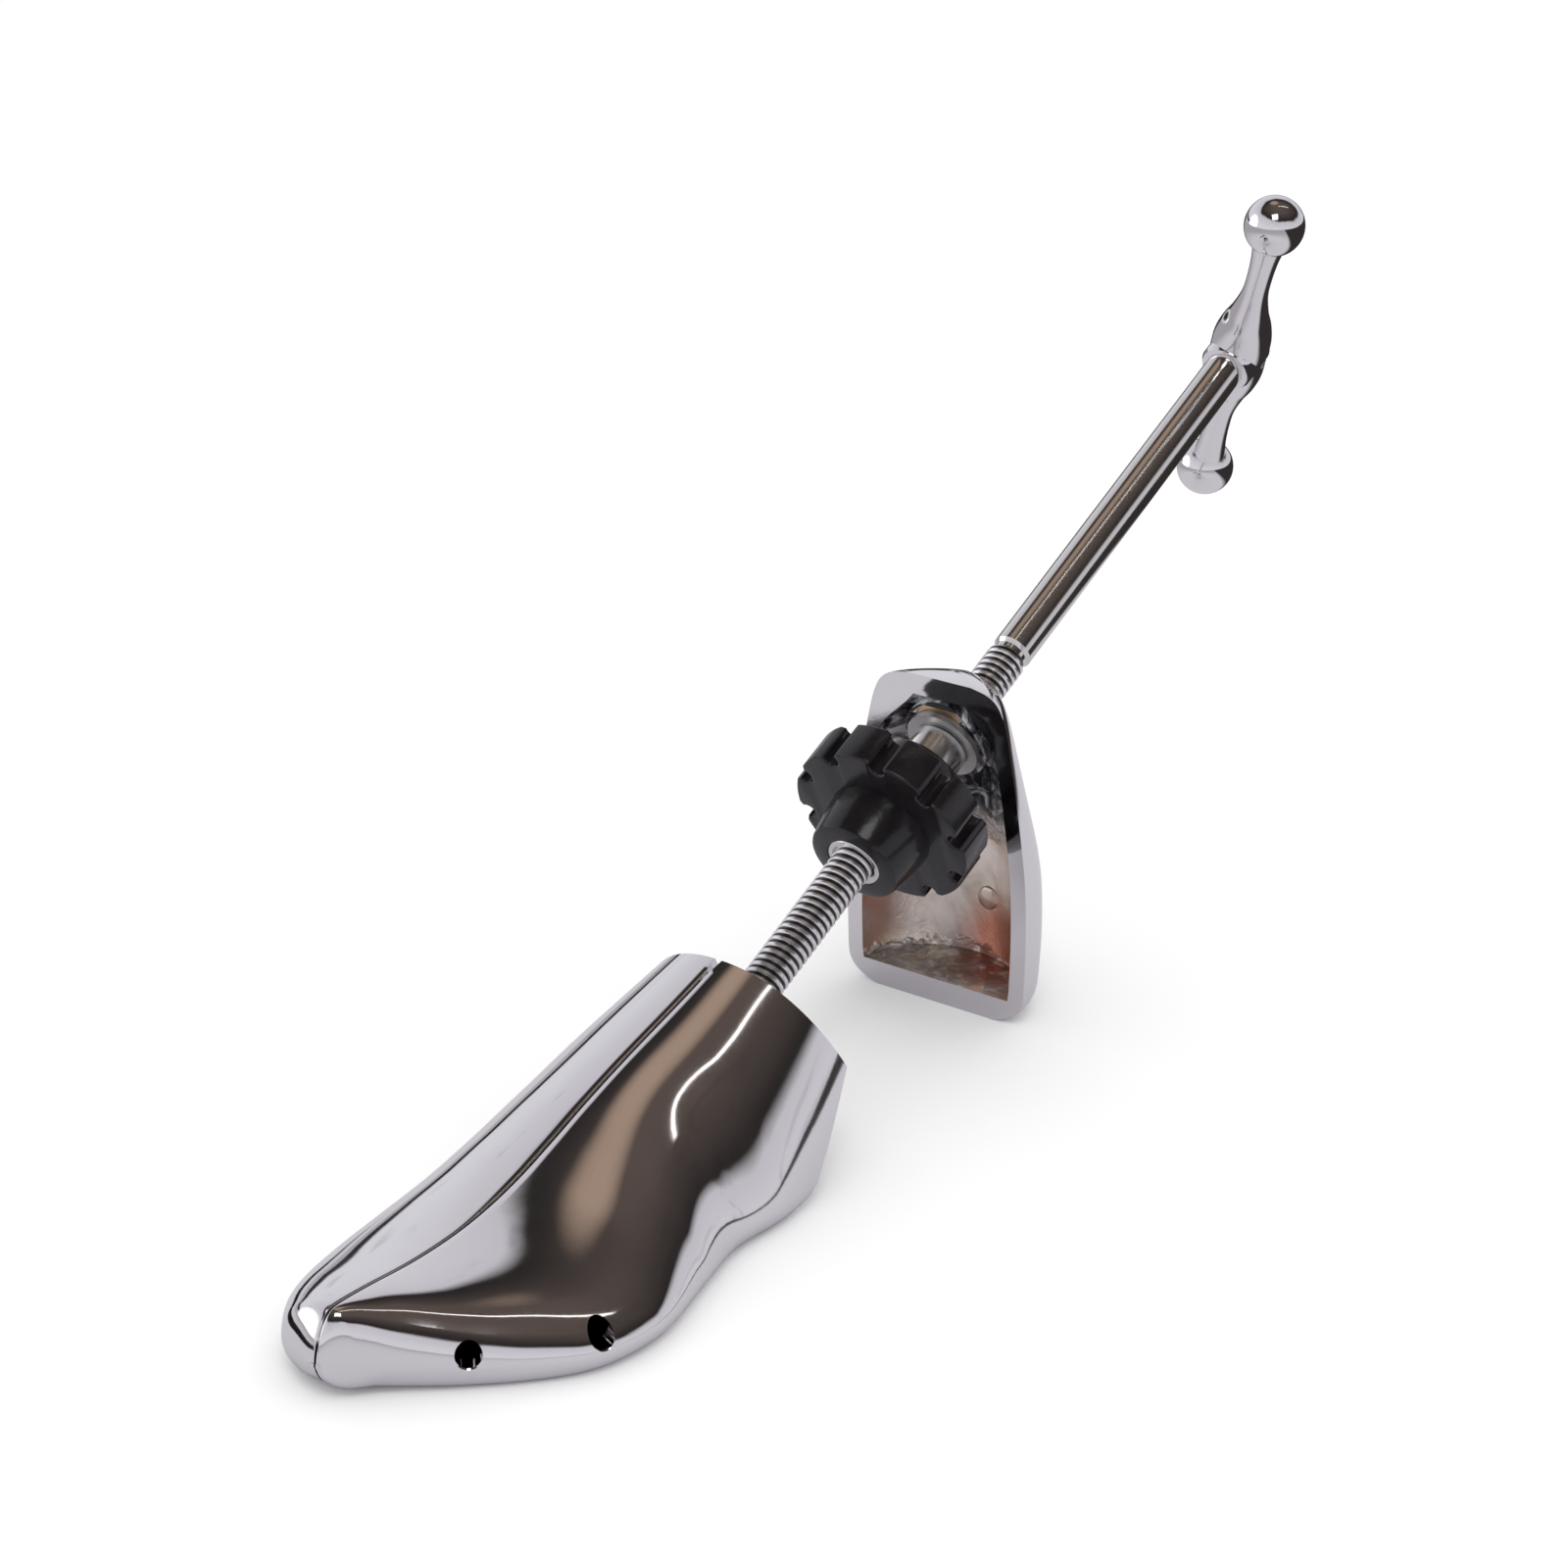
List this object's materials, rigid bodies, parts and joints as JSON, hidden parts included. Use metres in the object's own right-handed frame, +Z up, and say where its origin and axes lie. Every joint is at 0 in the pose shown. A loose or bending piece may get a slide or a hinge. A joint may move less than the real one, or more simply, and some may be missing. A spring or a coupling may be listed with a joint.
{
  "type": "shoe stretcher",
  "caption": "Metal shoe stretcher with a split toe block, a hollow heel block and a star knob on one screw rod, turned by a T-handle with ball ends.",
  "frame": {"origin": "on the floor, at the middle of the heel block's foot", "axes": "+X from the toe block to the heel block and the T-handle, +Y to the left half of the toe block, +Z up; the rod rises along +X at 25.55 degrees"},
  "size_m": [0.3806, 0.0781, 0.1786],
  "materials": {
    "chrome": "polished",
    "bright_steel": "bright, lightly worn",
    "machined_steel": "machined",
    "spring_steel": "blackened",
    "bronze": "satin",
    "plated_insert": "plated, satin",
    "black_plastic": "moulded, satin"
  },
  "bodies": {
    "pivot_frame": {"pivot_block": "machined_steel", "pivot_pin_left": "machined_steel", "pivot_pin_right": "machined_steel"},
    "toe_left": {"toe_half_left": "chrome"},
    "toe_right": {"toe_half_right": "chrome"},
    "spreader": {"spreader_cone": "machined_steel", "cone_thrust_washer": "bronze"},
    "screw": {"screw_rod": "bright_steel", "cone_retaining_clip": "spring_steel", "t_handle": "chrome", "handle_cross_pin": "machined_steel"},
    "knob_washer": {"knob_thrust_washer": "bright_steel"},
    "knob": {"star_knob": "black_plastic", "knob_threaded_insert": "plated_insert"},
    "heel_bush": {"heel_rod_bush": "bronze"},
    "heel": {"heel_block": "chrome"}
  },
  "joints": [
    {"name": "toe_left_open", "type": "hinge", "parent": "pivot_frame", "child": "toe_left", "pos_m": [-0.09331, 0.0083, 0.02621], "axis": [0.4313, 0, -0.9022], "range_deg": [0, 4.55]},
    {"name": "toe_right_open", "type": "hinge", "parent": "pivot_frame", "child": "toe_right", "pos_m": [-0.09331, -0.0083, 0.02621], "axis": [-0.4313, 0, 0.9022], "range_deg": [0, 4.55]},
    {"name": "spreader_travel", "type": "slide", "parent": "pivot_frame", "child": "spreader", "axis": [-0.9022, 0, -0.4313], "range_m": [0, 0.0081]},
    {"name": "handle_turn", "type": "hinge", "parent": "spreader", "child": "screw", "pos_m": [-0.0879, 0, 0.0288], "axis": [-0.9022, 0, -0.4313], "range_deg": [0, 1440]},
    {"name": "knob_travel", "type": "slide", "parent": "spreader", "child": "knob_washer", "axis": [0.9022, 0, 0.4313], "range_m": [-0.0301, 0.0251]},
    {"name": "knob_turn", "type": "hinge", "parent": "knob_washer", "child": "knob", "pos_m": [-0.03377, 0, 0.05468], "axis": [0.9022, 0, 0.4313], "range_deg": [-5400, 4500]},
    {"name": "heel_slide", "type": "slide", "parent": "knob_washer", "child": "heel_bush", "axis": [0.9022, 0, 0.4313], "range_m": [0, 0.06]},
    {"name": "heel_swivel", "type": "hinge", "parent": "heel_bush", "child": "heel", "pos_m": [-0.00219, 0, 0.06977], "axis": [0.9022, 0, 0.4313], "continuous": true}
  ],
  "couplings": [
    {"joint": "spreader_travel", "follows": "handle_turn", "m_per_rad": 0.00031831},
    {"joint": "toe_left_open", "follows": "handle_turn", "ratio": 0.0031531},
    {"joint": "toe_right_open", "follows": "handle_turn", "ratio": 0.0031531},
    {"joint": "knob_travel", "follows": "knob_turn", "m_per_rad": 0.00031831}
  ]
}
